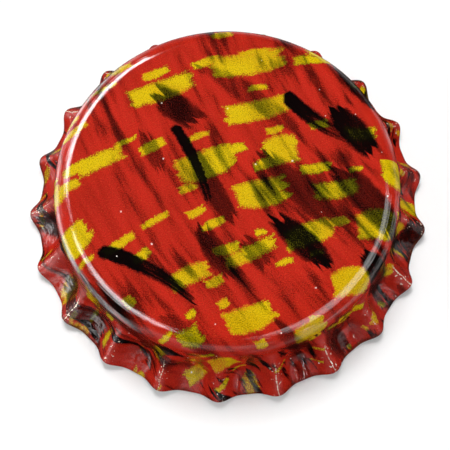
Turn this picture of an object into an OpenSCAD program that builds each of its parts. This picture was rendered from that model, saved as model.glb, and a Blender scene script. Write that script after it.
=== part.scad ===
// Crown cap for a bottle: a fluted tinplate shell with a moulded sealing liner.
// The origin is at the centre of the plane the rim stands on, with +Z up through the panel.

/* [Crown] */
// Number of teeth round the skirt
teeth = 21; // [15:1:27]
// Diameter over the tips of the teeth
tip_d = 32.1; // [31:0.1:36]
// Diameter over the valleys between the teeth, at the rim
valley_d = 30.65; // [28.5:0.05:30.8]
// Height from the plane the rim stands on to the top of the panel
height = 6.7; // [5.8:0.1:8]

/* [Sheet] */
// Thickness of the tinplate
sheet = 0.23; // [0.18:0.01:0.3]
// Inside diameter of the throat, which goes over the bottle's mouth
throat_d = 26.6; // [25:0.05:27]
// Outside radius of the corner between the panel and the throat
corner_r = 1.4; // [0.9:0.1:2]
// Length of the straight throat below the corner
throat_l = 0.6; // [0.3:0.1:1.2]

/* [Teeth] */
// Height of a tooth's tip above the lowest point of the rim
tip_lift = 0.65; // [0:0.05:1.2]
// Sharpness of a tooth's ridge where it leaves the throat
ridge_top = 2; // [1:0.1:2.5]
// Sharpness of a tooth's ridge at the rim
ridge_rim = 2; // [1:0.1:3]
// How late a ridge bends outwards on its way down (1 is straight)
ridge_bend = 1.3; // [1:0.05:2]
// Share of the skirt's height over which a valley stays upright before it turns outwards
valley_knee = 0.58; // [0.2:0.02:0.7]
// How gently a valley turns outwards at its knee, as a share of the skirt's height
valley_turn = 0.08; // [0.04:0.02:0.3]

/* [Liner] */
// Thickness of the liner's web under the panel
web = 0.3; // [0.2:0.05:0.5]
// Gap between the liner's edge and the edge of the flat panel inside the shell
liner_gap = 0.1; // [0.05:0.05:0.5]
// Width of the raised sealing ring
ring_w = 2.9; // [2.2:0.1:4]
// Thickness of the sealing ring between its two beads
ring_t = 0.55; // [0.4:0.05:0.8]
// Radius of the outer bead, which seals on the lip's shoulder
outer_bead_r = 0.55; // [0.3:0.05:0.7]
// How far the outer bead reaches below the panel
outer_bead_t = 1; // [0.8:0.05:1.2]
// Radius of the inner bead, which seals on the lip's top
inner_bead_r = 0.45; // [0.3:0.05:0.6]
// How far the inner bead reaches below the panel
inner_bead_t = 0.85; // [0.7:0.05:1.1]

/* [Smoothness] */
// Columns of facets across one tooth
columns = 10; // [6:2:14]
// Bands of facets down the skirt
bands = 10; // [4:1:10]

/* [Hidden] */

throat_r = throat_d / 2;
shoulder_r = throat_r + sheet;
panel_r = shoulder_r - corner_r;
corner_z = height - corner_r;
throat_z = corner_z - throat_l;
// The skirt starts inside the throat's wall, a hair within both of its faces.
root_l = throat_l / 3;
root_inset = 0.01;
valley_out = valley_d / 2 - shoulder_r;
ridge_out = tip_d / 2 - shoulder_r;
// A flared sheet stands on its inside edge, so the outside of the rim starts this much higher.
knee_end = sqrt(pow(1 - valley_knee, 2) + pow(valley_turn, 2));
rim_slope = (1 + (1 - valley_knee) / knee_end) / (knee(1) - knee(0));
rim_lift = sheet * sin(atan(rim_slope * valley_out / throat_z));
around = teeth * columns;
rows = bands + 2;

liner_r = panel_r - liner_gap;
liner_z = height - sheet;

// How much of a tooth there is at a share of the pitch: 1 on the ridge, 0 in the valley.
function lobe(pitch, down) =
    pow((1 + cos(360 * pitch)) / 2, ridge_top + (ridge_rim - ridge_top) * down);

// Pitch counts the teeth round the cap, and the first tooth points along -Y.
function place(pitch, r, z) =
    let (angle = 360 * pitch / teeth - 90)
    [r * cos(angle), r * sin(angle), z];

// A valley's line, unscaled: level down to its knee, then an even slope, with a smooth turn between.
function knee(down) =
    let (past = down - valley_knee)
    past + sqrt(past * past + valley_turn * valley_turn);

// Outside of the skirt, where down runs from 0 at the throat to 1 at the rim.
function skirt_r(pitch, down) =
    let (valley = valley_out * (knee(down) - knee(0)) / (knee(1) - knee(0)))
    let (ridge = ridge_out * pow(down, ridge_bend))
    shoulder_r + valley + (ridge - valley) * lobe(pitch, down);
function skirt_z(pitch, down) =
    throat_z + (rim_lift - throat_z) * down + tip_lift * lobe(pitch, down) * pow(down, 2);
function skirt_point(pitch, down) =
    place(pitch, skirt_r(pitch, down), skirt_z(pitch, down));

// The sheet has one thickness, so its inside lies along the surface's own normal.
step = 0.001;
function skirt_normal(pitch, down) =
    let (low = max(0, down - step), high = min(1, down + step))
    let (along = skirt_point(pitch + step, down) - skirt_point(pitch - step, down))
    let (fall = skirt_point(pitch, high) - skirt_point(pitch, low))
    let (out = cross(fall, along))
    out / norm(out);

// One closed loop of points round the sheet's section, down the outside and back up the inside.
// Its two top rows are the root, from which the skirt hangs inside the wall of the throat.
function section(pitch) =
    concat(
        [for (z = [throat_z + root_l, throat_z])
            place(pitch, shoulder_r - root_inset, z)],
        [for (band = [1 : bands])
            skirt_point(pitch, band / bands)],
        [for (band = [bands : -1 : 1])
            skirt_point(pitch, band / bands) - sheet * skirt_normal(pitch, band / bands)],
        [for (z = [throat_z, throat_z + root_l])
            place(pitch, throat_r + root_inset, z)]
    );

module skirt() {
    loop = 2 * rows;
    points = [for (i = [0 : around - 1]) each section(i / columns)];
    faces = [
        for (i = [0 : around - 1], j = [0 : loop - 1])
            let (here = i * loop, next = (i + 1) % around * loop, k = (j + 1) % loop)
            each [
                [here + j, next + j, here + k],
                [here + k, next + j, next + k]
            ]
    ];
    polyhedron(points, faces);
}

// Panel, corner and throat: one profile, turned.
module crown() {
    rotate_extrude($fn = around) {
        translate([0, height - sheet])
            square([panel_r, sheet]);
        intersection() {
            translate([panel_r, corner_z])
                difference() {
                    circle(corner_r, $fn = 96);
                    circle(corner_r - sheet, $fn = 96);
                }
            translate([panel_r, corner_z])
                square(corner_r);
        }
        translate([throat_r, throat_z])
            square([sheet, throat_l]);
    }
}

module shell() {
    color("firebrick")
        union() {
            crown();
            skirt();
        }
}

// A bead of the sealing ring: straight sides down from the panel and a round bottom.
module bead(r, bead_r, reach) {
    translate([r, liner_z - reach + bead_r]) {
        intersection() {
            circle(bead_r, $fn = 48);
            translate([-bead_r, -bead_r])
                square([2 * bead_r, bead_r]);
        }
        translate([-bead_r, 0])
            square([2 * bead_r, reach - bead_r]);
    }
}

module liner() {
    color("whitesmoke")
        rotate_extrude($fn = around) {
            translate([0, liner_z - web])
                square([liner_r, web]);
            translate([liner_r - ring_w, liner_z - ring_t])
                square([ring_w, ring_t]);
            bead(liner_r - outer_bead_r, outer_bead_r, outer_bead_t);
            bead(liner_r - ring_w + inner_bead_r, inner_bead_r, inner_bead_t);
        }
}

shell();
liner();
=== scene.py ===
"""Crown bottle cap: the looks of the printed shell and its sealing liner, on a pale studio floor."""

import logging
import math
from dataclasses import dataclass, field
from enum import Enum
from functools import reduce
from typing import Any, Optional, Sequence, Union

import bpy
from mathutils import Euler, Matrix, Vector

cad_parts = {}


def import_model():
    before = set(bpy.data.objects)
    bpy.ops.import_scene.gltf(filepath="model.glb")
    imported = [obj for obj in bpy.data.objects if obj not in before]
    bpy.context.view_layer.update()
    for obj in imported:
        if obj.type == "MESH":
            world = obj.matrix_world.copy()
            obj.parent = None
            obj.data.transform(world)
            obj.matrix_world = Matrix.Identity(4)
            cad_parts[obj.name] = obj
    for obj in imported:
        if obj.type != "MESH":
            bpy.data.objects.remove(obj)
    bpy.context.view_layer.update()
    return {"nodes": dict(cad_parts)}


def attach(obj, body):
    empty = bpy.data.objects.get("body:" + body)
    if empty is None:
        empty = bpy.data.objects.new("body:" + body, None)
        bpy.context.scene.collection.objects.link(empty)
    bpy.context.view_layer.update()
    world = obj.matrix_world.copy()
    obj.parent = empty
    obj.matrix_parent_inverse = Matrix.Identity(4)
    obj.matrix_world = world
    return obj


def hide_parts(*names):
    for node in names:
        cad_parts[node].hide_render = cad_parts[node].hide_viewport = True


LOG = logging.getLogger("bottle_cap")
MM = 0.001
TO_MM = 1.0 / MM
BLANK = "blank"
WHITE = (1.0, 1.0, 1.0, 1.0)
Number = Union[int, float]
Screen = tuple[int, int, int]
Span = tuple[float, float]
Inputs = Union[Sequence[Any], dict[str, Any]]


class Role(Enum):
    """What a lamp does: it lights the surfaces, or it shows as a highlight in the lacquer."""

    LIGHT = (True, False)
    GLINT = (False, True)


# ---------------------------------------------------------------- node building


@dataclass(frozen=True)
class Noise:
    """One layer of noise.

    Attributes:
        scale: how many features to one unit.
        detail: how many finer layers it has.
        rough: how strong those layers are.
        level: third coordinate at which it is read, which sets it apart from like layers.
        stretch: what the first two coordinates are multiplied by first.
        edges: values of the noise that become 0 and 1, or None to leave it as it is.
    """

    scale: float
    detail: float = 2.0
    rough: float = 0.5
    level: float = 0.0
    stretch: Span = (1.0, 1.0)
    edges: Optional[Span] = None


class Wire:
    """One output socket, with arithmetic that adds nodes to its tree."""

    def __init__(self, graph: "Graph", socket: bpy.types.NodeSocket) -> None:
        """Wraps a socket.

        Args:
            graph: the graph that the socket belongs to.
            socket: the output socket.
        """
        self.graph = graph
        self.socket = socket

    def _math(self, operation: str, *values: Any) -> "Wire":
        """Adds one Math node and returns its value."""
        return self.graph.add("ShaderNodeMath", {"operation": operation}, values)

    def __add__(self, other: Any) -> "Wire":
        """Sum."""
        return self._math("ADD", self, other)

    def __radd__(self, other: Any) -> "Wire":
        """Sum, reflected."""
        return self._math("ADD", other, self)

    def __sub__(self, other: Any) -> "Wire":
        """Difference."""
        return self._math("SUBTRACT", self, other)

    def __rsub__(self, other: Any) -> "Wire":
        """Difference, reflected."""
        return self._math("SUBTRACT", other, self)

    def __mul__(self, other: Any) -> "Wire":
        """Product."""
        return self._math("MULTIPLY", self, other)

    def __truediv__(self, other: Any) -> "Wire":
        """Quotient."""
        return self._math("DIVIDE", self, other)

    def __rtruediv__(self, other: Any) -> "Wire":
        """Quotient, reflected."""
        return self._math("DIVIDE", other, self)

    def __pow__(self, other: Any) -> "Wire":
        """Power."""
        return self._math("POWER", self, other)

    def floor(self) -> "Wire":
        """The whole number below."""
        return self._math("FLOOR", self)

    def fract(self) -> "Wire":
        """What is left over the whole number below."""
        return self._math("FRACT", self)

    def sin(self) -> "Wire":
        """Sine of an angle in radians."""
        return self._math("SINE", self)

    def cos(self) -> "Wire":
        """Cosine of an angle in radians."""
        return self._math("COSINE", self)

    def arctangent(self, other: Any) -> "Wire":
        """Angle in radians of a point whose second coordinate this is."""
        return self._math("ARCTAN2", self, other)

    def abs(self) -> "Wire":
        """Absolute value."""
        return self._math("ABSOLUTE", self)

    def most(self, other: Any) -> "Wire":
        """The larger of two values."""
        return self._math("MAXIMUM", self, other)

    def least(self, other: Any) -> "Wire":
        """The smaller of two values."""
        return self._math("MINIMUM", self, other)

    def ramp(self, low: Number, high: Number, to_low: Number = 0.0, to_high: Number = 1.0) -> "Wire":
        """Maps one range to another, clamped and smoothed at both ends.

        Args:
            low: the value that becomes to_low.
            high: the value that becomes to_high.
            to_low: the result at low.
            to_high: the result at high.

        Returns:
            The mapped value.
        """
        return self.graph.add(
            "ShaderNodeMapRange",
            {"interpolation_type": "SMOOTHSTEP"},
            {"Value": self, "From Min": low, "From Max": high, "To Min": to_low, "To Max": to_high},
        )

    def clamp(self) -> "Wire":
        """The value held between 0 and 1."""
        return self.graph.add("ShaderNodeClamp", {}, {"Value": self})


class Graph:
    """A node tree with short ways to add nodes to it."""

    def __init__(self, tree: bpy.types.NodeTree) -> None:
        """Takes over a tree.

        Args:
            tree: the shader or geometry tree to build in.
        """
        self.tree = tree

    def put(self, socket: bpy.types.NodeSocket, value: Any) -> None:
        """Links a wire to a socket, or sets the socket's own value.

        Args:
            socket: the input socket.
            value: a Wire, or what the socket holds.
        """
        if isinstance(value, Wire):
            self.tree.links.new(value.socket, socket)
        else:
            socket.default_value = value

    def node(self, kind: str, settings: dict[str, Any], inputs: Inputs = ()) -> bpy.types.Node:
        """Adds a node.

        Args:
            kind: the node's type.
            settings: its own properties, which are set first.
            inputs: values or wires for its sockets, in order or by name.

        Returns:
            The node.
        """
        made = self.tree.nodes.new(kind)
        for name, value in settings.items():
            setattr(made, name, value)
        pairs = inputs.items() if isinstance(inputs, dict) else enumerate(inputs)
        for key, value in pairs:
            self.put(made.inputs[key], value)
        return made

    def add(
        self, kind: str, settings: dict[str, Any], inputs: Inputs = (), output: Union[int, str] = 0
    ) -> Wire:
        """Adds a node and returns one of its outputs.

        Args:
            kind: the node's type.
            settings: its own properties, which are set first.
            inputs: values or wires for its sockets, in order or by name.
            output: which output to return.

        Returns:
            The output.
        """
        return Wire(self, self.node(kind, settings, inputs).outputs[output])

    def vector(self, x: Any = 0.0, y: Any = 0.0, z: Any = 0.0) -> Wire:
        """A vector from three values."""
        return self.add("ShaderNodeCombineXYZ", {}, (x, y, z))

    def parts(self, vector: Wire) -> tuple[Wire, Wire, Wire]:
        """The three values of a vector."""
        made = self.node("ShaderNodeSeparateXYZ", {}, (vector,))
        return Wire(self, made.outputs[0]), Wire(self, made.outputs[1]), Wire(self, made.outputs[2])

    def millimetres(self, place: Wire) -> tuple[Wire, Wire, Wire]:
        """The three values in mm of a place in metres."""
        x, y, z = self.parts(place)
        return x * TO_MM, y * TO_MM, z * TO_MM

    def noise(self, layer: Noise, x: Any, y: Any = 0.0, z: Any = None) -> Wire:
        """Noise from 0 to 1.

        Args:
            layer: the layer of noise.
            x: first coordinate, before the layer's stretch.
            y: second coordinate, before the layer's stretch.
            z: third coordinate, or None for the layer's own level.

        Returns:
            The value.
        """
        place = self.vector(x * layer.stretch[0], y * layer.stretch[1], layer.level if z is None else z)
        value = self.add(
            "ShaderNodeTexNoise",
            {"noise_dimensions": "3D"},
            {"Vector": place, "Scale": layer.scale, "Detail": layer.detail, "Roughness": layer.rough},
        )
        return value.ramp(*layer.edges) if layer.edges else value

    def chance(self, *keys: Any) -> Wire:
        """A fixed random value from 0 to 1 for up to three keys."""
        return self.add("ShaderNodeTexWhiteNoise", {"noise_dimensions": "3D"}, {"Vector": self.vector(*keys)})

    def blend(self, share: Any, first: Any, second: Any, mode: str = "MIX") -> Wire:
        """A mix of two colours.

        Args:
            share: how much of the second there is.
            first: a colour or a wire.
            second: a colour or a wire.
            mode: the way that they mix.

        Returns:
            The colour.
        """
        made = self.node("ShaderNodeMix", {"data_type": "RGBA", "blend_type": mode})
        for key, value in ((0, share), (6, first), (7, second)):
            self.put(made.inputs[key], value)
        return Wire(self, made.outputs[2])

    def glow(self, strength: Any) -> Wire:
        """A white emission."""
        return self.add("ShaderNodeEmission", {}, {"Color": WHITE, "Strength": strength})

    def rays(self) -> tuple[Wire, Wire]:
        """Tells the rays apart.

        Returns:
            1 for rays from the camera, straight or through glass, and 1 for mirrored rays; otherwise 0.
        """
        path = self.node("ShaderNodeLightPath", {})
        names = ("Is Camera Ray", "Is Transmission Ray", "Is Glossy Ray")
        camera, glass, mirrored = (Wire(self, path.outputs[name]) for name in names)
        return camera.most(glass), mirrored

    def bump(self, height: Wire, strength: float, depth: float) -> Wire:
        """The normal of a relief.

        Args:
            height: the relief.
            strength: how much of it shows, from 0 to 1.
            depth: how deep a relief of 1 is, in mm.

        Returns:
            The normal.
        """
        values = {"Strength": strength, "Distance": depth * MM, "Height": height}
        return self.add("ShaderNodeBump", {}, values, "Normal")


@dataclass(frozen=True)
class Spot:
    """A point of the tinplate, as it lay on the flat blank before it was pressed.

    Attributes:
        graph: the tree that reads it.
        x: place on the blank, in mm.
        y: place on the blank, in mm.
        out: distance from the middle of the blank, in mm.
        turn: direction from the middle of the blank, in radians.
    """

    graph: Graph
    x: Wire
    y: Wire
    out: Wire
    turn: Wire

    @classmethod
    def read(cls, graph: Graph, start: float = 0.0) -> "Spot":
        """Reads the point from the attribute that the shell carries.

        Args:
            graph: the tree to add to.
            start: what the direction of +X counts as, in radians.

        Returns:
            The point.
        """
        place = graph.add("ShaderNodeAttribute", {"attribute_name": BLANK}, (), "Vector")
        x, y, _ = graph.millimetres(place)
        return cls(graph, x, y, (x * x + y * y) ** 0.5, y.arctangent(x) + start)

    def noise(self, layer: Noise) -> Wire:
        """Noise that is read by the place on the blank."""
        return self.graph.noise(layer, self.x, self.y)

    def swirl(self, layer: Noise) -> Wire:
        """Noise that is read by the direction and the distance from the middle."""
        return self.graph.noise(layer, self.turn, self.out)


def linear(colour: Screen) -> tuple[float, float, float, float]:
    """A screen colour as the linear colour that a shader takes.

    Args:
        colour: red, green and blue from 0 to 255.

    Returns:
        The linear colour, with alpha 1.
    """
    shares = (value / 255 for value in colour)
    red, green, blue = (s / 12.92 if s <= 0.04045 else ((s + 0.055) / 1.055) ** 2.4 for s in shares)
    return red, green, blue, 1.0


def between(span: Span, share: Wire) -> Wire:
    """The value at a share of the way from a span's least to its most."""
    return share * (span[1] - span[0]) + span[0]


# ---------------------------------------------------------------- finishes


class Finish:
    """A material that is built once and handed to the pieces that wear it."""

    name = "finish"

    def build(self) -> bpy.types.Material:
        """Makes the material.

        Returns:
            The material.
        """
        material = bpy.data.materials.new(self.name)
        material.use_nodes = True
        material.node_tree.nodes.clear()
        graph = Graph(material.node_tree)
        output = graph.node("ShaderNodeOutputMaterial", {})
        graph.put(output.inputs["Surface"], self.surface(graph))
        return material

    def surface(self, graph: Graph) -> Wire:
        """Adds the shader; each finish has its own."""
        raise NotImplementedError

    @staticmethod
    def principled(graph: Graph, values: dict[str, Any]) -> Wire:
        """A Principled BSDF with the given sockets."""
        return graph.add("ShaderNodeBsdfPrincipled", {}, values)


@dataclass(frozen=True)
class Sweep:
    """The arcs that a brush followed over the flat blank, round one far point.

    Attributes:
        heading: direction of the arcs through the middle of the blank, in degrees.
        radius: radius of the arc through the middle, in mm; a negative one bows the other way.
    """

    heading: float
    radius: float

    def follow(self, spot: Spot) -> tuple[Wire, Wire]:
        """Coordinates along and across the arcs.

        Args:
            spot: the point of the sheet.

        Returns:
            The distance along the arcs and the distance across them, in mm.
        """
        c, s = math.cos(math.radians(self.heading)), math.sin(math.radians(self.heading))
        forward = self.radius + (spot.y * c - spot.x * s)
        side = spot.x * c + spot.y * s
        far = (forward * forward + side * side) ** 0.5
        if self.radius < 0:
            return side.arctangent(0.0 - forward) * -self.radius, -self.radius - far
        return side.arctangent(forward) * self.radius, far - self.radius


@dataclass(frozen=True)
class BrushMarks:
    """A family of dabs of a brush, each in a cell of its own along a sweep.

    Attributes:
        sweep: the arcs that the dabs follow.
        pitch: distance from row to row, in mm.
        cell: distance from dab to dab along a row, in mm.
        half_width: half a dab's width, least and most, in mm.
        half_length: half a dab's length, least and most, in mm.
        present: share of the cells that hold a dab.
        taper: share of a dab's width that is gone at its ends.
        frayed: how far the bristles run out at a dab's ends, in mm.
        soft: how far its edge fades, in mm.
        seed: where its random values start.
        lean: range of a dab's lean off its row, as a slope.
        bow: range of a dab's bow, as a share of half the greatest width.
        row_shift: how far the seed moves the rows, in rows.
        row_start: how far apart two rows may start, in cells.
        scatter: how far apart two dabs may read the bristles' streaks, in mm.
        bristle: layer of the bristles' streaks.
        outline: layer that frays a dab's outline.
        dry: how spent a bristle is where its paint starts to fail, and where it is driest.
        dry_paint: share of the paint that is left where it is dry.
    """

    sweep: Sweep
    pitch: float
    cell: float
    half_width: Span
    half_length: Span
    present: float
    taper: float
    frayed: float
    soft: float
    seed: float
    lean: float = 0.2
    bow: float = 0.6
    row_shift: float = 0.37
    row_start: float = 7.0
    scatter: float = 160.0
    bristle: Noise = Noise(1.0, stretch=(0.25, 2.4))
    outline: Noise = Noise(1.7, 4.0, 0.6)
    dry: Span = (0.62, 1.0)
    dry_paint: float = 0.25

    def laid(self, spot: Spot) -> tuple[Wire, Wire]:
        """How much paint the dabs leave.

        Args:
            spot: the point of the sheet.

        Returns:
            The paint from 0 to 1, thinner where the bristles ran dry, and a random value for each dab.
        """
        graph = spot.graph
        along, across = self.sweep.follow(spot)
        row = across / self.pitch + self.seed * self.row_shift
        number = row.floor()
        run = along / self.cell + graph.chance(number, self.seed, 1.0) * self.row_start
        cell = run.floor()
        draw = [graph.chance(cell, number, self.seed + 0.5 + k) for k in range(7)]
        width = between(self.half_width, draw[0])
        length = between(self.half_length, draw[1])
        spare_u = max(0.0, self.cell - 2 * self.half_length[1])
        spare_v = max(0.0, self.pitch - 2 * self.half_width[1])
        u = (run.fract() - 0.5) * self.cell + (draw[2] - 0.5) * spare_u
        v = (row.fract() - 0.5) * self.pitch + (draw[3] - 0.5) * spare_v + u * (draw[4] - 0.5) * self.lean
        share = u / length
        v = v + share * share * (draw[6] - 0.5) * self.half_width[1] * self.bow
        bristles = graph.noise(self.bristle, u + draw[2] * self.scatter, v, self.seed)
        ragged = graph.noise(self.outline, spot.x, spot.y, self.seed) - 0.5
        side = width * (1.0 - share * share * self.taper) - v.abs() + ragged * 0.5
        end = length - u.abs() - (bristles - 0.3).most(0.0) * self.frayed + ragged * 0.6
        kept = draw[5].ramp(self.present, self.present + 0.001, 1.0, 0.0)
        trail = (share * 0.5 + 0.2 + (bristles - 0.5) * 1.6).ramp(*self.dry, 1.0, self.dry_paint)
        return side.least(end).ramp(-self.soft, self.soft) * trail * kept, draw[0]


@dataclass(frozen=True)
class InkStroke:
    """One bold stroke of ink, straight or bowed.

    Attributes:
        start: where it starts on the blank, in mm.
        end: where it ends on the blank, in mm.
        width: its full width, in mm.
        bow: how far its middle stands off the straight line, in mm.
        dryness: how much of the ink is gone at its end, from 0 to 1.
        bristle: layer of the bristles' streaks.
        frayed: how far noise moves its sides, in mm.
        ragged_end: how far the bristles move its end, in mm.
        soft: how far its edge fades, in mm.
    """

    start: Span
    end: Span
    width: float
    bow: float = 0.0
    dryness: float = 0.4
    bristle: Noise = Noise(1.0, stretch=(0.2, 4.0))
    frayed: float = 0.35
    ragged_end: float = 3.0
    soft: float = 0.2

    def density(self, spot: Spot, ragged: Wire) -> Wire:
        """How much ink the stroke leaves.

        Args:
            spot: the point of the sheet.
            ragged: noise about 0 that frays its outline.

        Returns:
            The ink, from 0 to about 1.
        """
        run = Vector(self.end) - Vector(self.start)
        way = run.normalized()
        px, py = spot.x - self.start[0], spot.y - self.start[1]
        u = px * way.x + py * way.y
        share = (u / run.length).clamp()
        v = py * way.x - px * way.y - share * (1.0 - share) * (4.0 * self.bow)
        bristles = spot.graph.noise(self.bristle, u, v, self.start[0])
        lead = (self.width / 2 - u).most(0.0)
        swell = (share * math.pi).sin() * 0.18 + 0.9 - share * 0.2
        side = swell * (self.width / 2) - (v * v + lead * lead) ** 0.5 + ragged * self.frayed
        tail = run.length - u + (bristles - 0.5) * self.ragged_end
        wet = 1.0 - share * self.dryness + (bristles - 0.5) * (share * self.dryness * 2.4)
        return side.least(tail).ramp(-self.soft, self.soft) * wet


@dataclass(frozen=True)
class Mottle:
    """The uneven tones that the layers of the print share, each from 0 to 1 but the ragged one.

    Attributes:
        grain: fine grain of the ink.
        flecks: slightly wider flecks.
        coarse: broad changes of tone.
        ragged: noise about 0 that frays outlines.
        streaks: streaks along the ink's sweep.
        along: distance along the ink's sweep, in mm.
        across: distance across the ink's sweep, in mm.
    """

    grain: Wire
    flecks: Wire
    coarse: Wire
    ragged: Wire
    streaks: Wire
    along: Wire
    across: Wire


@dataclass(frozen=True)
class DustAndGlints:
    """Nibs where the lacquer caught specks from the air; their pale colour is partly a painted highlight for
    the glints off them.

    Attributes:
        scale: cells to a millimetre.
        share: share of the cells that hold a nib.
        radius: least and greatest radius of a nib, in mm.
        soft: shares of that radius at which a nib is full and gone.
        uneven: how far a nib's outline wanders, in mm.
        colour: its colour, pale, partly a painted highlight.
        cover: how much it hides.
        raised: how high it stands, as a share of the relief.
    """

    scale: float = 0.4
    share: float = 0.26
    radius: Span = (0.028, 0.088)
    soft: Span = (0.5, 1.2)
    uneven: float = 0.12
    colour: Screen = (240, 236, 228)
    cover: float = 0.85
    raised: float = 0.08

    def nibs(self, spot: Spot, flecks: Wire) -> Wire:
        """Adds the nibs.

        Args:
            spot: the point of the sheet.
            flecks: noise from 0 to 1 that makes their outlines uneven.

        Returns:
            1 on a nib, otherwise 0.
        """
        graph = spot.graph
        place = graph.vector(spot.x, spot.y)
        cells = graph.node(
            "ShaderNodeTexVoronoi", {"voronoi_dimensions": "2D"}, {"Vector": place, "Scale": self.scale}
        )
        near = Wire(graph, cells.outputs["Distance"]) / self.scale + (flecks - 0.5) * self.uneven
        chosen, size, _ = graph.parts(Wire(graph, cells.outputs["Color"]))
        kept = chosen.ramp(1.0 - self.share, 1.01 - self.share)
        return (near / between(self.radius, size)).ramp(*self.soft, 1.0, 0.0) * kept


@dataclass(frozen=True)
class RidgeWearAndGlints:
    """Worn-through metal along the ridges of the skirt, with specks beside it; its pale colour is partly a
    painted highlight for the ridges' glints.

    Attributes:
        start: where on the blank a ridge starts to be worn, in mm.
        edge: how far off a ridge the metal is worn through and where it is covered, in mm.
        spared: how much narrower the most spared ridge is worn, in mm.
        bend: layer that bends the worn lines.
        bend_reach: how far it bends them, in mm.
        dots: layer that breaks up their edges.
        dots_reach: how far it moves their edges, in mm.
        specks: layer of the specks.
        specks_edge: how far off a ridge the specks are full and where they end, in mm.
        tin_and_glint: colour of the worn-through metal, pale enough to be partly a painted highlight.
        metallic: how metallic it is.
        rough: how much rougher than the lacquer it is.
    """

    start: Span = (16.2, 17.4)
    edge: Span = (0.19, 0.23)
    spared: float = 0.12
    bend: Noise = Noise(1.0, 1.0, 0.5, 31.0, (6.0, 0.5))
    bend_reach: float = 0.5
    dots: Noise = Noise(1.0, 2.0, 0.7, 33.0, (30.0, 4.0))
    dots_reach: float = 0.34
    specks: Noise = Noise(3.8, 1.0, level=37.0, edges=(0.685, 0.715))
    specks_edge: Span = (0.35, 0.8)
    tin_and_glint: Screen = (250, 228, 204)
    metallic: float = 0.35
    rough: float = 0.16

    def bare_and_glint(self, spot: Spot, teeth: int) -> Wire:
        """Adds the worn ridges and their painted glints.

        Args:
            spot: the point of the sheet.
            teeth: number of teeth round the skirt.

        Returns:
            1 where the metal is bare, otherwise 0.
        """
        tooth = spot.turn * (teeth / math.tau) + 0.5
        spared = spot.graph.chance(tooth.floor(), 3.0, 1.0) * self.spared
        bend = (spot.swirl(self.bend) - 0.5) * self.bend_reach
        aside = ((tooth.fract() - 0.5) * spot.out * (math.tau / teeth) + bend).abs()
        low = spot.out.ramp(*self.start)
        # Worn lines and specks along the ridges: partly bare tin, partly a painted highlight for the ridges'
        # glints.
        line = (aside + spot.swirl(self.dots) * self.dots_reach + spared).ramp(*self.edge, 1.0, 0.0)
        specks = spot.noise(self.specks) * aside.ramp(*self.specks_edge, 1.0, 0.0)
        return (line * low).most(specks * low)


@dataclass(frozen=True)
class ValleyShadeAndRimDirt:
    """Painted shade that darkens the valleys of the skirt, and the dark rust at its rim.

    Attributes:
        start: where on the blank the painted shade starts, in mm.
        end: where it ends, in mm.
        patches: layer that breaks it up.
        depth: how strongly it keeps to the valleys.
        valley_shade: colour of the painted shade.
        cover: how much the painted shade hides.
        rim: where on the blank the rust at the rim starts, in mm.
        stain: layer that varies it round the rim.
        stain_cover: how much it hides where it is thin and where it is thick.
        rust: its colour.
    """

    start: Span = (13.6, 15.0)
    end: Span = (17.0, 19.2)
    patches: Noise = Noise(0.7, 3.0, 0.6, 57.0, edges=(0.4, 0.56))
    depth: float = 3.0
    valley_shade: Screen = (34, 12, 9)
    cover: float = 0.85
    rim: Span = (19.45, 19.75)
    stain: Noise = Noise(1.0, 1.0, 0.5, 41.0, (3.2, 1.0), (0.42, 0.58))
    stain_cover: Span = (0.1, 0.85)
    rust: Screen = (84, 24, 13)

    def over(self, colour: Wire, spot: Spot, ragged: Wire, wave: Wire) -> Wire:
        """Adds the painted shade in the valleys and the rust at the rim.

        Args:
            colour: colour under the painted shade and the rust.
            spot: the point of the sheet.
            ragged: noise about 0 that frays its outline.
            wave: 0.5 on a ridge and -0.5 in a valley.

        Returns:
            The colour.
        """
        band = spot.out.ramp(*self.start) * spot.out.ramp(*self.end, 1.0, 0.0)
        # Painted shade: the colour darkens towards the valleys of the skirt, where shade falls.
        painted_shade = (0.5 - wave) ** self.depth * band * spot.noise(self.patches)
        colour = spot.graph.blend(painted_shade * self.cover, colour, linear(self.valley_shade))
        rub = (spot.out + ragged * 0.5).ramp(*self.rim)
        stained = between(self.stain_cover, spot.graph.noise(self.stain, spot.turn))
        return spot.graph.blend(rub * stained, colour, linear(self.rust))


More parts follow.
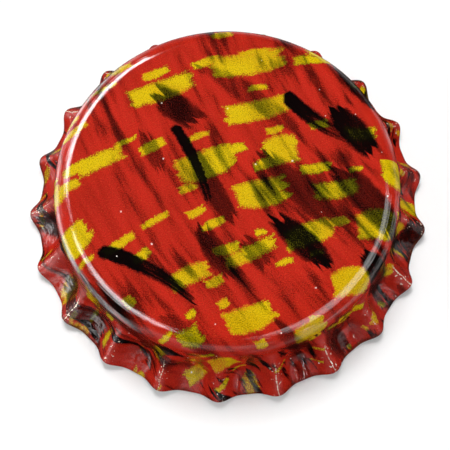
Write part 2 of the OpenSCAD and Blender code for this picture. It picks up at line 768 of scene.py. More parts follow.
@dataclass(frozen=True)
class SheetRelief:
    """The small relief of the lacquered sheet: orange peel, draw lines and creases.

    Attributes:
        corner: where on the blank the draw lines start, in mm.
        shoulder: where the creases start, in mm.
        skirt: where the flutes start, in mm.
        wide: layer of the broad waves of the lacquer.
        wide_share: how high they are on the panel and on the skirt.
        fine: layer of its orange peel.
        fine_share: how high that is on the panel, in the valleys and on the ridges.
        crest: how strongly the ridges' peel keeps to them.
        lines: layer of the draw lines.
        lines_share: how high they are on the corner and, as a share of that, on the skirt.
        folds: layer whose middle is a crease.
        fold_width: half the width of a crease, as a change of that layer.
        fold_share: how high a crease is.
        depth: how deep a relief of 1 is, in mm.
        strength: how much of the relief shows.
    """

    corner: Span = (11.9, 12.6)
    shoulder: Span = (13.6, 15.4)
    skirt: Span = (14.8, 16.0)
    wide: Noise = Noise(0.9, 1.0)
    wide_share: Span = (0.3, 3.0)
    fine: Noise = Noise(5.0, 1.0)
    fine_share: tuple[float, float, float] = (0.006, 0.266, 1.466)
    crest: float = 8.0
    lines: Noise = Noise(1.0, 3.0, 0.6, 21.0, (1.5, 4.4))
    lines_share: Span = (1.7, 0.4)
    folds: Noise = Noise(1.0, 2.0, 0.6, 51.0, (9.0, 0.5))
    fold_width: float = 0.045
    fold_share: float = 0.3
    depth: float = 0.06
    strength: float = 0.4

    def normal(self, spot: Spot, wave: Wire, nibs: Wire) -> Wire:
        """Adds the relief.

        Args:
            spot: the point of the sheet.
            wave: 0.5 on a ridge and -0.5 in a valley.
            nibs: height of the nibs.

        Returns:
            The normal.
        """
        panel, valley, ridge = self.fine_share
        pressed = spot.out.ramp(*self.skirt)
        crest = (wave + 0.5) ** self.crest * pressed
        peel = spot.noise(self.wide) * between(self.wide_share, pressed)
        peel = peel + spot.noise(self.fine) * (crest * (ridge - valley) + pressed * (valley - panel) + panel)
        drawn = spot.out.ramp(*self.corner) * between((1.0, self.lines_share[1]), pressed)
        creases = (spot.swirl(self.folds) - 0.5).abs().ramp(0.0, self.fold_width, self.fold_share, 0.0)
        height = peel + nibs + spot.swirl(self.lines) * drawn * self.lines_share[0]
        height = height + creases * spot.out.ramp(*self.shoulder)
        return spot.graph.bump(height, self.strength, self.depth)


@dataclass(frozen=True)
class PrintedLacquer(Finish):
    """Litho print under gloss lacquer: a red ground, yellow brush dabs and black dry-brush strokes.

    Attributes:
        name: the material's name.
        red: colour of the ground.
        deep_red: colour of the ground's darker streaks.
        orange: colour of the ground's flecks.
        yellow: colour of the dabs.
        ochre: colour of the dabs' duller parts.
        amber: colour of some of the dabs' edges.
        umber: colour of the other edges.
        olive: colour of the dark grain in the dabs.
        straw: colour of the light flecks in the dabs.
        film: what a thin film of ink lets through.
        black: colour of the full ink.
        yellow_marks: the dabs, largest first.
        ink_marks: the families of dry-brush strokes; the first one's sweep carries the streaks.
        ink_strokes: the bold strokes.
        grain: layer of the fine grain.
        flecks: layer of the flecks.
        coarse: layer of the broad tones.
        ragged: layer that frays outlines.
        streaks: layer of the streaks.
        thin: layer that thins the dabs on the skirt.
        wash: layer of the ink's wash.
        blots: layer of the ink's blots on the skirt.
        thin_from: where on the blank the dabs thin, in mm.
        blots_from: where on the blank the blots start, in mm.
        ink_fade: where on the blank the ink thins a little, in mm.
        dab_edge: how much paint a dab's edge and its full colour have.
        halo_edge: how much paint the dark rim outside a dab has, and where that rim is full.
        film_edge: how much ink makes a film, and a full film.
        black_edge: how much ink starts to be black, and is black.
        mark_ink: how much ink the driest and the fullest of the marks hold.
        teeth: number of teeth round the skirt.
        valley_shade_and_rim_dirt: the painted shade in the valleys and the rust at the rim.
        dust_and_glints: the nibs in the lacquer, whose pale colour is partly a painted highlight.
        wear_and_glints: the worn ridges, whose pale colour is partly a painted highlight.
        relief: the small relief.
        gloss: roughness of the lacquer.
        index: refractive index of the lacquer.
    """

    name: str = "printed_lacquer"
    red: Screen = (198, 40, 26)
    deep_red: Screen = (144, 27, 16)
    orange: Screen = (206, 84, 40)
    yellow: Screen = (212, 180, 6)
    ochre: Screen = (202, 162, 6)
    amber: Screen = (204, 108, 24)
    umber: Screen = (122, 52, 14)
    olive: Screen = (92, 88, 10)
    straw: Screen = (240, 208, 46)
    film: tuple[float, float, float, float] = (0.21, 0.28, 0.34, 1.0)
    black: Screen = (4, 3, 3)
    yellow_marks: tuple[BrushMarks, ...] = (
        BrushMarks(Sweep(22.0, 40.0), 3.9, 5.8, (0.45, 1.15), (1.1, 2.6), 0.56, 0.2, 0.9, 0.42, 3.0),
        BrushMarks(Sweep(22.0, 40.0), 1.95, 3.3, (0.16, 0.4), (0.5, 1.5), 0.44, 0.2, 0.5, 0.24, 11.0),
    )
    ink_marks: tuple[BrushMarks, ...] = (
        BrushMarks(Sweep(-56.0, -60.0), 2.9, 9.5, (0.4, 1.15), (1.8, 4.4), 0.66, 0.75, 4.0, 0.3, 5.0),
        BrushMarks(Sweep(-38.0, 55.0), 4.6, 11.0, (0.5, 1.5), (2.2, 5.2), 0.6, 0.75, 5.0, 0.4, 8.0),
    )
    ink_strokes: tuple[InkStroke, ...] = (
        InkStroke((-9.5, -6.0), (-2.0, -9.6), 1.2, 0.5, 0.5),
        InkStroke((4.2, 7.7), (10.6, 3.8), 1.3, -0.6, 0.7),
        InkStroke((-4.4, 4.6), (-1.2, -1.8), 0.9, 0.3, 0.3),
    )
    grain: Noise = Noise(11.0, 1.0, level=7.0)
    flecks: Noise = Noise(9.0, 1.0, level=27.0)
    coarse: Noise = Noise(0.2, 1.0, level=9.0)
    ragged: Noise = Noise(3.0, 2.0, level=2.0)
    streaks: Noise = Noise(1.0, 2.5, 0.5, 4.0, (0.2, 1.2))
    thin: Noise = Noise(0.4, 2.0, level=17.0, edges=(0.36, 0.56))
    wash: Noise = Noise(1.0, 2.0, 0.5, 14.0, (0.11, 0.26))
    blots: Noise = Noise(1.0, 3.0, 0.6, 61.0, (0.17, 0.6), (0.51, 0.63))
    thin_from: Span = (13.6, 15.4)
    blots_from: Span = (13.6, 15.0)
    ink_fade: Span = (13.0, 16.0)
    dab_edge: Span = (0.36, 0.6)
    halo_edge: Span = (0.14, 0.5)
    film_edge: Span = (0.1, 0.52)
    black_edge: Span = (0.46, 0.76)
    mark_ink: Span = (0.08, 0.8)
    teeth: int = 21
    valley_shade_and_rim_dirt: ValleyShadeAndRimDirt = ValleyShadeAndRimDirt()
    dust_and_glints: DustAndGlints = DustAndGlints()
    wear_and_glints: RidgeWearAndGlints = RidgeWearAndGlints()
    relief: SheetRelief = SheetRelief()
    gloss: float = 0.04
    index: float = 1.42

    def surface(self, graph: Graph) -> Wire:
        """Adds the print, its worn ridges and nibs with their painted highlights, the painted shade in the
        valleys, and the lacquer.

        Args:
            graph: the tree to add to.

        Returns:
            The shader.
        """
        spot = Spot.read(graph, math.pi / 2)
        mottle = self.mottle(spot)
        wave = (spot.turn * float(self.teeth)).cos() * 0.5
        nibs = self.dust_and_glints.nibs(spot, mottle.flecks)
        bare_and_glint = self.wear_and_glints.bare_and_glint(spot, self.teeth)
        colour = self.dabbed(spot, mottle, self.ground(graph, mottle))
        colour = self.inked(spot, mottle, colour)
        # Painted shade in the valleys, and rust at the rim.
        colour = self.valley_shade_and_rim_dirt.over(colour, spot, mottle.ragged, wave)
        # Pale nibs: partly specks in the lacquer, partly a painted highlight for their glints.
        colour = graph.blend(nibs * self.dust_and_glints.cover, colour, linear(self.dust_and_glints.colour))
        return self.principled(
            graph,
            {
                # Bare tin on the ridges, partly a painted highlight for their glints.
                "Base Color": graph.blend(bare_and_glint, colour, linear(self.wear_and_glints.tin_and_glint)),
                "Roughness": bare_and_glint * self.wear_and_glints.rough + self.gloss,
                "Metallic": bare_and_glint * self.wear_and_glints.metallic,
                "IOR": self.index,
                "Specular IOR Level": 0.5,
                "Normal": self.relief.normal(spot, wave, nibs * self.dust_and_glints.raised),
            },
        )

    def mottle(self, spot: Spot) -> Mottle:
        """Adds the tones that the layers share.

        Args:
            spot: the point of the sheet.

        Returns:
            The tones.
        """
        along, across = self.ink_marks[0].sweep.follow(spot)
        return Mottle(
            grain=spot.noise(self.grain),
            flecks=spot.noise(self.flecks),
            coarse=spot.noise(self.coarse),
            ragged=spot.noise(self.ragged) - 0.5,
            streaks=spot.graph.noise(self.streaks, along, across),
            along=along,
            across=across,
        )

    def ground(self, graph: Graph, mottle: Mottle) -> Wire:
        """Adds the red ground.

        Args:
            graph: the tree to add to.
            mottle: the shared tones.

        Returns:
            The colour.
        """
        depth = mottle.streaks.ramp(0.3, 0.75) * 0.5 + (mottle.grain - 0.38) * 2.1
        tone = (depth + mottle.coarse.ramp(0.3, 0.8) * 0.2).clamp()
        colour = graph.blend(tone, linear(self.red), linear(self.deep_red))
        return graph.blend(mottle.flecks.ramp(0.54, 0.76) * 0.3, colour, linear(self.orange))

    def dabbed(self, spot: Spot, mottle: Mottle, ground: Wire) -> Wire:
        """Adds the yellow dabs, with darker edges.

        Args:
            spot: the point of the sheet.
            mottle: the shared tones.
            ground: colour of the ground.

        Returns:
            The colour.
        """
        graph, grain, flecks, coarse = spot.graph, mottle.grain, mottle.flecks, mottle.coarse
        paint = reduce(Wire.most, (marks.laid(spot)[0] for marks in self.yellow_marks))
        paint = (paint - spot.noise(self.thin) * spot.out.ramp(*self.thin_from) * 0.5).most(0.0)
        halo = (paint + (flecks - 0.5) * 0.6).ramp(*self.halo_edge)
        broken = (grain - 0.5) * 2.2 + (flecks - 0.5) * 1.6
        dab = (paint + broken * (paint * (1.0 - paint) * 4.0)).ramp(*self.dab_edge)
        gold = graph.blend(coarse.ramp(0.4, 0.62), linear(self.yellow), linear(self.ochre))
        gold = graph.blend(grain.ramp(0.5, 0.64) * 0.52, gold, linear(self.olive))
        gold = graph.blend(flecks.ramp(0.56, 0.68) * 0.4, gold, linear(self.straw))
        edge = graph.blend(coarse.ramp(0.38, 0.6), linear(self.umber), linear(self.amber))
        return graph.blend(dab, graph.blend(halo * 0.8, ground, edge), gold)

    def inked(self, spot: Spot, mottle: Mottle, colour: Wire) -> Wire:
        """Adds the ink: its wash, the dry-brush strokes, the bold strokes and the blots.

        Args:
            spot: the point of the sheet.
            mottle: the shared tones.
            colour: colour under the ink.

        Returns:
            The colour.
        """
        graph = spot.graph
        wash = graph.noise(self.wash, mottle.along, mottle.across)
        ink = (wash - 0.468) * 2.4 + (mottle.streaks - 0.5) * 1.1
        for marks in self.ink_marks:
            laid, draw = marks.laid(spot)
            ink = ink.most(laid * between(self.mark_ink, draw))
        for stroke in self.ink_strokes:
            ink = ink.most(stroke.density(spot, mottle.ragged))
        blots = graph.noise(self.blots, mottle.along, mottle.across) * spot.out.ramp(*self.blots_from)
        ink = ink.most(blots * 0.9) + (mottle.grain - 0.5) * 0.45 + (mottle.streaks - 0.5) * 0.5
        ink = ink - spot.out.ramp(*self.ink_fade) * 0.1
        film = graph.blend(ink.ramp(*self.film_edge), WHITE, self.film)
        colour = graph.blend(1.0, colour, film, "MULTIPLY")
        return graph.blend(ink.ramp(*self.black_edge) * 0.98, colour, linear(self.black))


@dataclass(frozen=True)
class InsideLacquer(Finish):
    """Clear-lacquered tinplate on the inside of the shell, with the mill's rolling lines and die rub.

    Attributes:
        name: the material's name.
        metal: colour of the lacquered tinplate.
        dull: colour of its darker blots.
        bright: colour where the crimping dies rubbed it.
        rolling: direction of the rolling lines over the blank, in degrees.
        dies: where on the blank the dies start to rub, in mm.
        lines: layer of the rolling lines.
        blots: layer of the blots.
        drag: layer of the dies' marks.
        drag_edge: values of that layer at which the metal starts to be rubbed and is bright.
        relief: how deep a relief of 1 is, in mm.
        relief_share: how much of the relief shows.
    """

    name: str = "inside_lacquer"
    metal: Screen = (206, 201, 188)
    dull: Screen = (168, 162, 148)
    bright: Screen = (226, 224, 216)
    rolling: float = 12.0
    dies: Span = (14.6, 17.0)
    lines: Noise = Noise(1.0, 3.0, 0.6, 1.0, (0.12, 9.0))
    blots: Noise = Noise(0.5, 3.0, level=3.0)
    drag: Noise = Noise(1.0, 3.0, 0.7, 5.0, (60.0, 0.25))
    drag_edge: Span = (0.5, 0.72)
    relief: float = 0.02
    relief_share: float = 0.2

    def surface(self, graph: Graph) -> Wire:
        """Adds the rolled metal and its lacquer.

        Args:
            graph: the tree to add to.

        Returns:
            The shader.
        """
        spot = Spot.read(graph)
        c, s = math.cos(math.radians(self.rolling)), math.sin(math.radians(self.rolling))
        lines = graph.noise(self.lines, spot.x * c + spot.y * s, spot.y * c - spot.x * s)
        blots = spot.noise(self.blots)
        drag = spot.swirl(self.drag)
        reach = spot.out.ramp(*self.dies)
        rubbed = drag.ramp(*self.drag_edge) * reach
        tone = lines * 0.4 + blots.ramp(0.35, 0.75) * 0.4
        colour = graph.blend(tone, linear(self.metal), linear(self.dull))
        return self.principled(
            graph,
            {
                "Base Color": graph.blend(rubbed * 0.7, colour, linear(self.bright)),
                "Roughness": (lines * 0.12 + blots * 0.1 - rubbed * 0.08 + 0.2).clamp(),
                "Metallic": 1.0,
                "Normal": graph.bump(lines * 0.6 + drag * reach, self.relief_share, self.relief),
            },
        )


@dataclass(frozen=True)
class CutEdge(Finish):
    """The sheared edge of the sheet at the rim: steel with the shear's marks, a film of rust and runs of
    lacquer.

    Attributes:
        name: the material's name.
        steel: colour of the uncoated steel.
        rust: colour of its rust.
        lacquer: colour of the lacquer that ran over it.
        shear: layer of the shear's marks.
        film: layer of the film of rust.
        runs: layer of the runs of lacquer.
        relief: how deep a relief of 1 is, in mm.
        relief_share: how much of the relief shows.
    """

    name: str = "cut_edge"
    steel: Screen = (128, 108, 96)
    rust: Screen = (84, 36, 22)
    lacquer: Screen = (150, 32, 22)
    shear: Noise = Noise(1.0, 2.0, 0.5, 2.0, (90.0, 1.0))
    film: Noise = Noise(0.7, 3.0, edges=(0.38, 0.6))
    runs: Noise = Noise(1.0, 2.0, 0.5, 7.0, (4.0, 1.0), (0.42, 0.54))
    relief: float = 0.02
    relief_share: float = 0.3

    def surface(self, graph: Graph) -> Wire:
        """Adds the sheared steel.

        Args:
            graph: the tree to add to.

        Returns:
            The shader.
        """
        spot = Spot.read(graph)
        run = graph.noise(self.runs, spot.turn)
        film = spot.noise(self.film).most(run)
        colour = graph.blend(film * 0.85, linear(self.steel), linear(self.rust))
        return self.principled(
            graph,
            {
                "Base Color": graph.blend(run * 0.8, colour, linear(self.lacquer)),
                "Roughness": film * 0.3 + 0.3,
                "Metallic": 1.0 - film * 0.7,
                "Normal": graph.bump(graph.noise(self.shear, spot.turn), self.relief_share, self.relief),
            },
        )


@dataclass(frozen=True)
class LinerCompound(Finish):
    """Soft moulded sealing compound: off-white, slightly cloudy, with the punch's turned marks and gate flow.

    Attributes:
        name: the material's name.
        milk: its colour.
        cloud: colour of the thicker, yellower clouds in it.
        flow: how far apart its flow lines are, in degrees.
        clouds: layer of the clouds.
        rays: layer of the flow lines.
        turned: layer of the punch's turned marks.
        skin: layer of its skin.
        relief: how deep a relief of 1 is, in mm.
        relief_share: how much of the relief shows.
    """

    name: str = "liner_compound"
    milk: Screen = (228, 227, 217)
    cloud: Screen = (207, 204, 186)
    flow: float = 7.0
    clouds: Noise = Noise(0.42, 3.0)
    rays: Noise = Noise(1.0, 2.0, 0.5, 2.0, (1.0, 0.4))
    turned: Noise = Noise(1.0, 2.0, 0.5, 0.0, (6.0, 1.0))
    skin: Noise = Noise(7.0, 2.0)
    relief: float = 0.03
    relief_share: float = 0.35

    def surface(self, graph: Graph) -> Wire:
        """Adds the compound.

        Args:
            graph: the tree to add to.

        Returns:
            The shader.
        """
        x, y, z = graph.millimetres(graph.add("ShaderNodeTexCoord", {}, (), "Object"))
        out = (x * x + y * y) ** 0.5
        clouds = graph.noise(self.clouds, x, y, z)
        rays = graph.noise(self.rays, y.arctangent(x) * (math.degrees(1.0) / self.flow), out)
        turned = graph.noise(self.turned, out)
        skin = graph.noise(self.skin, x, y, z)
        tone = (clouds.ramp(0.35, 0.7) * 0.5 + (rays - 0.5) * 0.5 + (skin - 0.5) * 0.3).clamp()
        height = turned * 0.6 + skin * 0.3 + rays * 0.3
        return self.principled(
            graph,
            {
                "Base Color": graph.blend(tone, linear(self.milk), linear(self.cloud)),
                "Roughness": clouds * 0.2 + skin * 0.1 + 0.28,
                "Specular IOR Level": 0.45,
                "Normal": graph.bump(height, self.relief_share, self.relief),
            },
        )


# ---------------------------------------------------------------- the shell


@dataclass
class CrownShell:
    """The pressed shell: flat panel, rolled corner, short throat and fluted skirt, in metres.

    Attributes:
        teeth: number of teeth round the skirt.
        tip_r: radius over the tips of the teeth.
        valley_r: radius over the valleys at the rim.
        height: height of the panel's top over the rim plane.
        sheet: thickness of the tinplate.
        throat_r: inside radius of the throat.
        corner_r: outside radius of the corner.
        throat_l: length of the straight throat.
        tip_lift: height of a tooth's tip over the lowest point of the rim.
        ridge_top: sharpness of a ridge at the throat.
        ridge_rim: sharpness of a ridge at the rim.
        ridge_bend: how late a ridge bends outwards.
        valley_knee: share of the skirt's height above which a valley stays upright.
        valley_turn: how gently a valley turns outwards there.
        dent: widest range of the sheet's small dents, from in to out, halfway down the skirt.
        dents: layer of the dents, read by the direction from the axis.
        dent_rows: how many times the layer runs on down the skirt.
        spread: length of the skirt on the flat blank, as a share of its height.
        columns: columns of faces across one tooth.
        rows: rows of faces on the panel, corner, throat and skirt.
        weld: distance within which points are joined.
        edge_round: width of the rounding of the cut edge.
        edge_segments: rows of faces on that rounding.
        edge_angle: least angle between two faces that is rounded, in degrees.
        smooth_angle: greatest angle between two faces that is shaded smooth, in degrees.
        print_finish: finish of the outside.
        inside_finish: finish of the inside.
        edge_finish: finish of the cut edge.
    """

    teeth: int = 21
    tip_r: float = 16.05 * MM
    valley_r: float = 15.325 * MM
    height: float = 6.7 * MM
    sheet: float = 0.23 * MM
    throat_r: float = 13.3 * MM
    corner_r: float = 1.4 * MM
    throat_l: float = 0.6 * MM
    tip_lift: float = 0.65 * MM
    ridge_top: float = 2.0
    ridge_rim: float = 2.0
    ridge_bend: float = 1.3
    valley_knee: float = 0.58
    valley_turn: float = 0.08
    dent: float = 0.2 * MM
    dents: Noise = Noise(0.8, 3.0, 0.6, 0.0, (14.0, 14.0))
    dent_rows: float = 4.0
    spread: float = 1.045
    columns: int = 24
    rows: tuple[int, int, int, int] = (8, 12, 2, 30)
    weld: float = 0.002 * MM
    edge_round: float = 0.05 * MM
    edge_segments: int = 2
    edge_angle: float = 50.0
    smooth_angle: float = 40.0
    print_finish: Finish = field(default_factory=PrintedLacquer)
    inside_finish: Finish = field(default_factory=InsideLacquer)
    edge_finish: Finish = field(default_factory=CutEdge)

    def form_tree(self, material: bpy.types.Material) -> tuple[bpy.types.NodeTree, dict[str, float]]:
        """Builds the Geometry Nodes tree that makes the outside of the shell.

        Args:
            material: the material of the print.

        Returns:
            The tree, and the value of each of its named inputs.
        """
        tree = bpy.data.node_groups.new("crown_form", "GeometryNodeTree")
        sizes = {
            "Teeth": float(self.teeth),
            "Tip Radius": self.tip_r,
            "Valley Radius": self.valley_r,
            "Height": self.height,
            "Shoulder Radius": self.throat_r + self.sheet,
            "Corner Radius": self.corner_r,
            "Throat Length": self.throat_l,
            "Tip Lift": self.tip_lift,
            "Rim Lift": self.rim_lift(),
        }
        for name in sizes:
            tree.interface.new_socket(name, in_out="INPUT", socket_type="NodeSocketFloat")
        tree.interface.new_socket("Geometry", in_out="OUTPUT", socket_type="NodeSocketGeometry")
        graph = Graph(tree)
        given = graph.node("NodeGroupInput", {})
        size = {name: Wire(graph, given.outputs[name]) for name in sizes}
        around, down = self.teeth * self.columns, sum(self.rows)
        counts = {"Vertices X": around + 1, "Vertices Y": down + 1}
        grid = graph.add("GeometryNodeMeshGrid", {}, {"Size X": 1.0, "Size Y": 1.0, **counts})
        x, y, _ = graph.parts(graph.add("GeometryNodeInputPosition", {}))
        turn = x + 0.5
        row = (y + 0.5) * float(down)
        place, blank = self.sheet_point(graph, turn, row, size)
        stored = graph.add(
            "GeometryNodeStoreNamedAttribute",
            {"data_type": "FLOAT_VECTOR", "domain": "POINT"},
            {"Geometry": grid, "Name": BLANK, "Value": blank},
        )
        moved = graph.add("GeometryNodeSetPosition", {}, {"Geometry": stored, "Position": place})
        merged = graph.add("GeometryNodeMergeByDistance", {}, {"Geometry": moved, "Distance": self.weld})
        realized = graph.add("GeometryNodeRealizeInstances", {}, (merged,))
        dressed = graph.add("GeometryNodeSetMaterial", {}, {"Geometry": realized, "Material": material})
        output = graph.node("NodeGroupOutput", {})
        graph.put(output.inputs[0], dressed)
        return tree, sizes

    def rim_lift(self) -> float:
        """How much higher the outside of the rim is than its inside edge, which the cap stands on.

        Returns:
            The height, in metres.
        """
        throat_z = self.height - self.corner_r - self.throat_l
        over = 1.0 - self.valley_knee
        slope = (1.0 + over / math.hypot(over, self.valley_turn)) / (self.knee(1.0) - self.knee(0.0))
        run = self.valley_r - self.throat_r - self.sheet
        return self.sheet * math.sin(math.atan(slope * run / throat_z))

    def knee(self, down: float) -> float:
        """How far a valley has turned outwards at a share of the skirt's height, before it is scaled."""
        return down - self.valley_knee + math.hypot(down - self.valley_knee, self.valley_turn)

    def sheet_point(self, graph: Graph, turn: Wire, row: Wire, size: dict[str, Wire]) -> tuple[Wire, Wire]:
        """Where a point of the sheet lies on the shell, and where it lay on the flat blank.

        Args:
            graph: the tree to add to.
            turn: how far round, from 0 to 1.
            row: how many rows of faces out from the centre of the panel.
            size: the named sizes.

        Returns:
            The place on the outside of the shell and the place on the flat blank.
        """
        ends = [float(sum(self.rows[: k + 1])) for k in range(3)]
        flat = (row / ends[0]).clamp()
        bend = ((row - ends[0]) / float(self.rows[1])).clamp() * (math.pi / 2)
        drop = ((row - ends[1]) / float(self.rows[2])).clamp()
        down = ((row - ends[2]) / float(self.rows[3])).clamp()
        shoulder, corner = size["Shoulder Radius"], size["Corner Radius"]
        panel = shoulder - corner
        throat_z = size["Height"] - corner - size["Throat Length"]
        angle = turn * math.tau - math.pi / 2
        pitch = (turn * size["Teeth"] * math.tau).cos()
        lobe = ((pitch + 1.0) * 0.5).most(0.0) ** (down * (self.ridge_rim - self.ridge_top) + self.ridge_top)
        past = down - self.valley_knee
        turned = past + (past * past + self.valley_turn**2) ** 0.5 - self.knee(0.0)
        valley = (size["Valley Radius"] - shoulder) * (turned / (self.knee(1.0) - self.knee(0.0)))
        dents = graph.noise(self.dents, angle.cos(), angle.sin(), down * self.dent_rows) - 0.5
        dents = dents * (self.dent * 4.0) * down * (1.0 - down)
        ridge = (size["Tip Radius"] - shoulder) * down**self.ridge_bend
        radius = flat * panel + bend.sin() * corner + valley + (ridge - valley) * lobe + dents
        level = (
            size["Height"]
            - corner * (1.0 - bend.cos())
            - drop * size["Throat Length"]
            - (throat_z - size["Rim Lift"]) * down
            + size["Tip Lift"] * lobe * down**2.0
        )
        out = flat * panel + corner * bend + size["Throat Length"] * drop + throat_z * self.spread * down
        place = graph.vector(radius * angle.cos(), radius * angle.sin(), level)
        return place, graph.vector(out * angle.cos(), out * angle.sin())

    def build(self) -> bpy.types.Object:
        """Makes the shell as one closed mesh with its three finishes.

        Returns:
            The shell's object.
        """
        outside = self.print_finish.build()
        tree, sizes = self.form_tree(outside)
        carrier = bpy.data.objects.new("crown_form", bpy.data.meshes.new("crown_form"))
        bpy.context.scene.collection.objects.link(carrier)
        modifier = carrier.modifiers.new("form", "NODES")
        modifier.node_group = tree
        for item in tree.interface.items_tree:
            if item.in_out == "INPUT":
                modifier[item.identifier] = sizes[item.name]
        sheet = bake(carrier, "crown_sheet")
        for finish in (self.inside_finish, self.edge_finish):
            sheet.data.materials.append(finish.build())
        face_outwards(sheet.data)
        wall = sheet.modifiers.new("wall", "SOLIDIFY")
        wall.thickness = self.sheet
        wall.offset = -1.0
        wall.use_even_offset = False
        wall.use_quality_normals = True
        wall.material_offset = 1
        wall.material_offset_rim = 2
        edge = sheet.modifiers.new("edge", "BEVEL")
        edge.width = self.edge_round
        edge.segments = self.edge_segments
        edge.limit_method = "ANGLE"
        edge.angle_limit = math.radians(self.edge_angle)
        shell = bake(sheet, "printed_shell")
        shell.data.shade_smooth()
        shell.data.set_sharp_from_angle(angle=math.radians(self.smooth_angle))
        return shell


def bake(source: bpy.types.Object, name: str) -> bpy.types.Object:
    """Turns an object with modifiers into one with a plain mesh, and removes the source.

    Args:
        source: the object to evaluate.
        name: name of the new object.

    Returns:
        The new object.
    """
    bpy.context.view_layer.update()
    depsgraph = bpy.context.evaluated_depsgraph_get()
    mesh = bpy.data.meshes.new_from_object(source.evaluated_get(depsgraph), depsgraph=depsgraph)
    bpy.data.objects.remove(source)
    made = bpy.data.objects.new(name, mesh)
    mesh.name = name
    bpy.context.scene.collection.objects.link(made)
    return made


def face_outwards(mesh: bpy.types.Mesh) -> None:
    """Turns the faces of the sheet so that the panel faces up.

    Args:
        mesh: the open sheet.
    """
    top = max(mesh.polygons, key=lambda face: face.center.z)
    if top.normal.z < 0:
        mesh.flip_normals()


# ---------------------------------------------------------------- the liner


@dataclass
class SealingLiner:
    """The moulded liner, which keeps its CAD form and gets its compound's finish.

    Attributes:
        finish: finish of the compound.
    """

    finish: Finish = field(default_factory=LinerCompound)

    def dress(self, node: bpy.types.Object) -> None:
        """Gives the CAD node its material.

        Args:
            node: the liner's object.
        """
        material = self.finish.build()
        if not node.material_slots:
            node.data.materials.append(material)
        for slot in node.material_slots:
            slot.material = material


# ---------------------------------------------------------------- the studio


@dataclass(frozen=True)
class Softbox:
    """One rectangular lamp that is aimed at the cap.

    Attributes:
        name: the lamp's name.
        azimuth: direction from the cap, in degrees from +X towards +Y.
        elevation: height of the direction, in degrees.
        spread: width and height as seen from the cap, in degrees.
        radiance: how bright its face is, where 1 is white.
        role: whether it lights surfaces or shows in the lacquer.
        distance: distance from the cap, in metres.
    """

    name: str
    azimuth: float
    elevation: float
    spread: Span
    radiance: float
    role: Role
    distance: float = 0.5

    def build(self) -> bpy.types.Object:
        """Makes the lamp.

        Returns:
            The lamp's object.
        """
        data = bpy.data.lights.new(self.name, "AREA")
        data.shape = "RECTANGLE"
        data.size, data.size_y = (2 * self.distance * math.tan(math.radians(a / 2)) for a in self.spread)
        data.energy = self.radiance * math.pi * data.size * data.size_y
        lamp = bpy.data.objects.new(self.name, data)
        a, e = math.radians(self.azimuth), math.radians(self.elevation)
        way = Vector((math.cos(e) * math.cos(a), math.cos(e) * math.sin(a), math.sin(e)))
        turn = way.to_track_quat("Z", "Y").to_matrix().to_4x4()
        lamp.matrix_world = Matrix.Translation(way * self.distance) @ turn
        lamp.visible_diffuse, lamp.visible_glossy = self.role.value
        bpy.context.scene.collection.objects.link(lamp)
        return lamp


@dataclass(frozen=True)
class Viewpoint:
    """The camera: where it stands round the cap and how it frames it.

    Attributes:
        azimuth: turn of the camera about +Z from the -Y side, in degrees.
        elevation: how far it looks down, in degrees.
        roll: turn about its own axis, in degrees.
        distance: distance to the origin, in metres.
        scale: picture points to a millimetre at the origin.
        centre: where the origin falls in the picture, in points.
        frame: width of the picture in points.
        sensor: width of the camera's sensor, in mm.
        clip: nearest and farthest distance that it sees, in metres.
    """

    azimuth: float = 3.63
    elevation: float = 69.87
    roll: float = -1.09
    distance: float = 0.115
    scale: float = 12.236
    centre: Span = (227.57, 211.52)
    frame: float = 450.0
    sensor: float = 36.0
    clip: Span = (0.001, 20.0)

    def build(self) -> bpy.types.Object:
        """Makes the camera and sets it as the scene's.

        Returns:
            The camera's object.
        """
        data = bpy.data.cameras.new("camera")
        data.sensor_width = self.sensor
        focal_points = self.scale * self.distance / MM
        data.lens = focal_points * self.sensor / self.frame
        data.shift_x = -(self.centre[0] - self.frame / 2) / self.frame
        data.shift_y = (self.centre[1] - self.frame / 2) / self.frame
        data.clip_start, data.clip_end = self.clip
        camera = bpy.data.objects.new("camera", data)
        a, e = math.radians(self.azimuth), math.radians(self.elevation)
        way = Vector((math.sin(a) * math.cos(e), -math.cos(a) * math.cos(e), math.sin(e)))
        look = Euler((math.pi / 2 - e, 0.0, a)).to_matrix().to_4x4()
        spin = Matrix.Rotation(math.radians(self.roll), 4, "Z")
        camera.matrix_world = Matrix.Translation(way * self.distance) @ look @ spin
        bpy.context.scene.collection.objects.link(camera)
        bpy.context.scene.camera = camera
        return camera


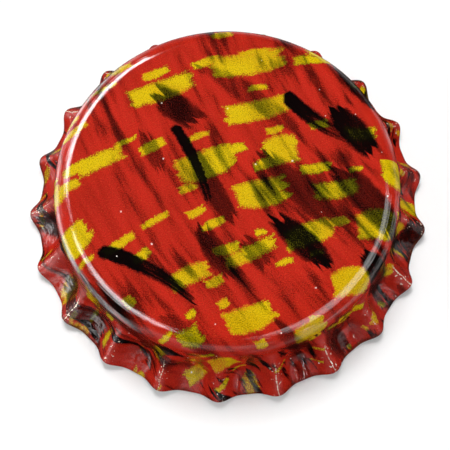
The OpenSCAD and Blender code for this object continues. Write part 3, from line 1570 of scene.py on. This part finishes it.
@dataclass(frozen=True)
class FloorPaper(Finish):
    """White paper that the camera sees as white, and the lacquer as brighter to the left and right.

    The camera's paper keeps the cap's shadow. What the lacquer mirrors is broken into patches round the cap.

    Attributes:
        name: the material's name.
        white: how much light the paper sends back, from 0 to 1.
        glow: how much light the camera's paper gives of its own.
        front: how bright the mirrored paper is all round.
        left: how much brighter it is to the left.
        right: how much brighter it is to the right.
        left_side: x over the distance, where the left starts to brighten and where it is full.
        right_side: x over the distance, where the right starts to brighten and where it is full.
        shade: how far from the cap's axis its shade starts to end and where it has ended, in metres.
        shaded: how bright the shaded paper is, as a share.
        patches: layer of the patches, read by direction.
        bands: how fast the patches change along the radius.
        dull: how bright a dull patch is.
        seed: where the patches start.
    """

    name: str = "floor_paper"
    white: float = 0.86
    glow: float = 0.105
    front: float = 0.45
    left: float = 4.0
    right: float = 0.8
    left_side: Span = (-0.34, -0.96)
    right_side: Span = (0.3, 0.9)
    shade: Span = (0.0175, 0.026)
    shaded: float = 0.02
    patches: Noise = Noise(1.0, 1.0, 0.5, 0.0, (3.6, 3.6), (0.44, 0.56))
    bands: float = 12.0
    dull: float = 0.03
    seed: float = 23.0

    def surface(self, graph: Graph) -> Wire:
        """Adds the paper.

        Args:
            graph: the tree to add to.

        Returns:
            The shader.
        """
        seen, mirrored = graph.rays()
        paper = graph.add("ShaderNodeBsdfDiffuse", {}, {"Color": (self.white, self.white, self.white, 1.0)})
        plain = graph.add("ShaderNodeAddShader", {}, (paper, graph.glow(seen * self.glow)))
        x, y, _ = graph.parts(graph.add("ShaderNodeTexCoord", {}, (), "Object"))
        out = (x * x + y * y) ** 0.5
        aside = x / out
        level = self.front + aside.ramp(*self.left_side, 0.0, self.left)
        level = level + aside.ramp(*self.right_side, 0.0, self.right)
        depth = (self.shade[0] / out) ** 0.5 * self.bands + self.seed
        patch = between((self.dull, 2.0 - self.dull), graph.noise(self.patches, aside, y / out, depth))
        level = level * out.ramp(*self.shade, self.shaded, 1.0) * patch
        return graph.add("ShaderNodeMixShader", {}, (mirrored, plain, graph.glow(level)))


@dataclass
class Studio:
    """The pale floor, the sky and the lamps round the cap.

    Attributes:
        lamps: the lamps; the ones that light come first.
        half_floor: half the floor's width, in metres.
        floor_gap: how far the floor lies under the rim, in metres.
        sky: how bright the sky is as a light.
        horizon: sines of the elevations between which the mirrored sky darkens.
        mirrored_sky: how bright the mirrored sky is below the horizon and above it.
    """

    lamps: tuple[Softbox, ...] = (
        Softbox("key", 101.0, 63.0, (26.0, 26.0), 12.2, Role.LIGHT),
        Softbox("right_fill", -28.0, 24.0, (50.0, 22.0), 2.3, Role.LIGHT),
        Softbox("left_fill", 196.0, 20.0, (50.0, 22.0), 3.9, Role.LIGHT),
        Softbox("left_box", 186.0, 67.0, (26.0, 24.0), 17.0, Role.GLINT),
        Softbox("right_box", -9.0, 62.0, (50.0, 28.0), 7.0, Role.GLINT),
        Softbox("back_strip", 128.0, 49.0, (26.0, 22.0), 34.0, Role.GLINT),
        Softbox("left_edge", 158.0, 31.0, (24.0, 1.6), 14.0, Role.GLINT),
        Softbox("left_link", 142.0, 64.5, (15.0, 1.2), 25.0, Role.GLINT),
        Softbox("front_strip", -51.0, 9.0, (0.5, 16.0), 60.0, Role.GLINT),
        Softbox("front_box", -97.0, 17.0, (56.0, 24.0), 1.4, Role.GLINT),
    )
    half_floor: float = 3.0
    floor_gap: float = 0.01 * MM
    sky: float = 0.28
    horizon: Span = (-0.01, 0.03)
    mirrored_sky: Span = (0.95, 0.02)

    def build(self) -> None:
        """Makes the floor, the sky and the lamps."""
        for lamp in self.lamps:
            lamp.build()
        self.floor()
        self.world()

    def floor(self) -> None:
        """Lays the floor under the rim."""
        h = self.half_floor
        mesh = bpy.data.meshes.new("floor")
        mesh.from_pydata([(-h, -h, 0), (h, -h, 0), (h, h, 0), (-h, h, 0)], [], [(0, 1, 2, 3)])
        floor = bpy.data.objects.new("floor", mesh)
        bpy.context.scene.collection.objects.link(floor)
        floor.location.z = -self.floor_gap
        mesh.materials.append(FloorPaper().build())

    def world(self) -> None:
        """Sets the sky: white to the camera, an even light, and nearly dark in the lacquer."""
        world = bpy.data.worlds.new("sky")
        bpy.context.scene.world = world
        world.use_nodes = True
        world.node_tree.nodes.clear()
        graph = Graph(world.node_tree)
        seen, mirrored = graph.rays()
        _, _, up = graph.parts(graph.add("ShaderNodeTexCoord", {}, (), "Generated"))
        dim = up.ramp(*self.horizon, *self.mirrored_sky)
        strength = seen + (1.0 - seen) * (mirrored * dim + (1.0 - mirrored) * self.sky)
        back = graph.add("ShaderNodeBackground", {}, {"Color": WHITE, "Strength": strength})
        output = graph.node("ShaderNodeOutputWorld", {})
        graph.put(output.inputs["Surface"], back)


# ---------------------------------------------------------------- the cap


def main() -> None:
    """Builds the cap on its floor, in order, and writes what it measures."""
    logging.basicConfig(level=logging.INFO, format="%(name)s: %(message)s")
    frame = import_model()

    Viewpoint().build()
    Studio().build()
    LOG.info("studio ready")

    shell = CrownShell().build()
    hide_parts("shell")
    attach(shell, "root")
    LOG.info("shell: %d faces", len(shell.data.polygons))

    SealingLiner().dress(frame["nodes"]["liner"])
    LOG.info("liner dressed")

    bpy.context.scene.view_settings.view_transform = "Standard"


if __name__ == "__main__":
    main()
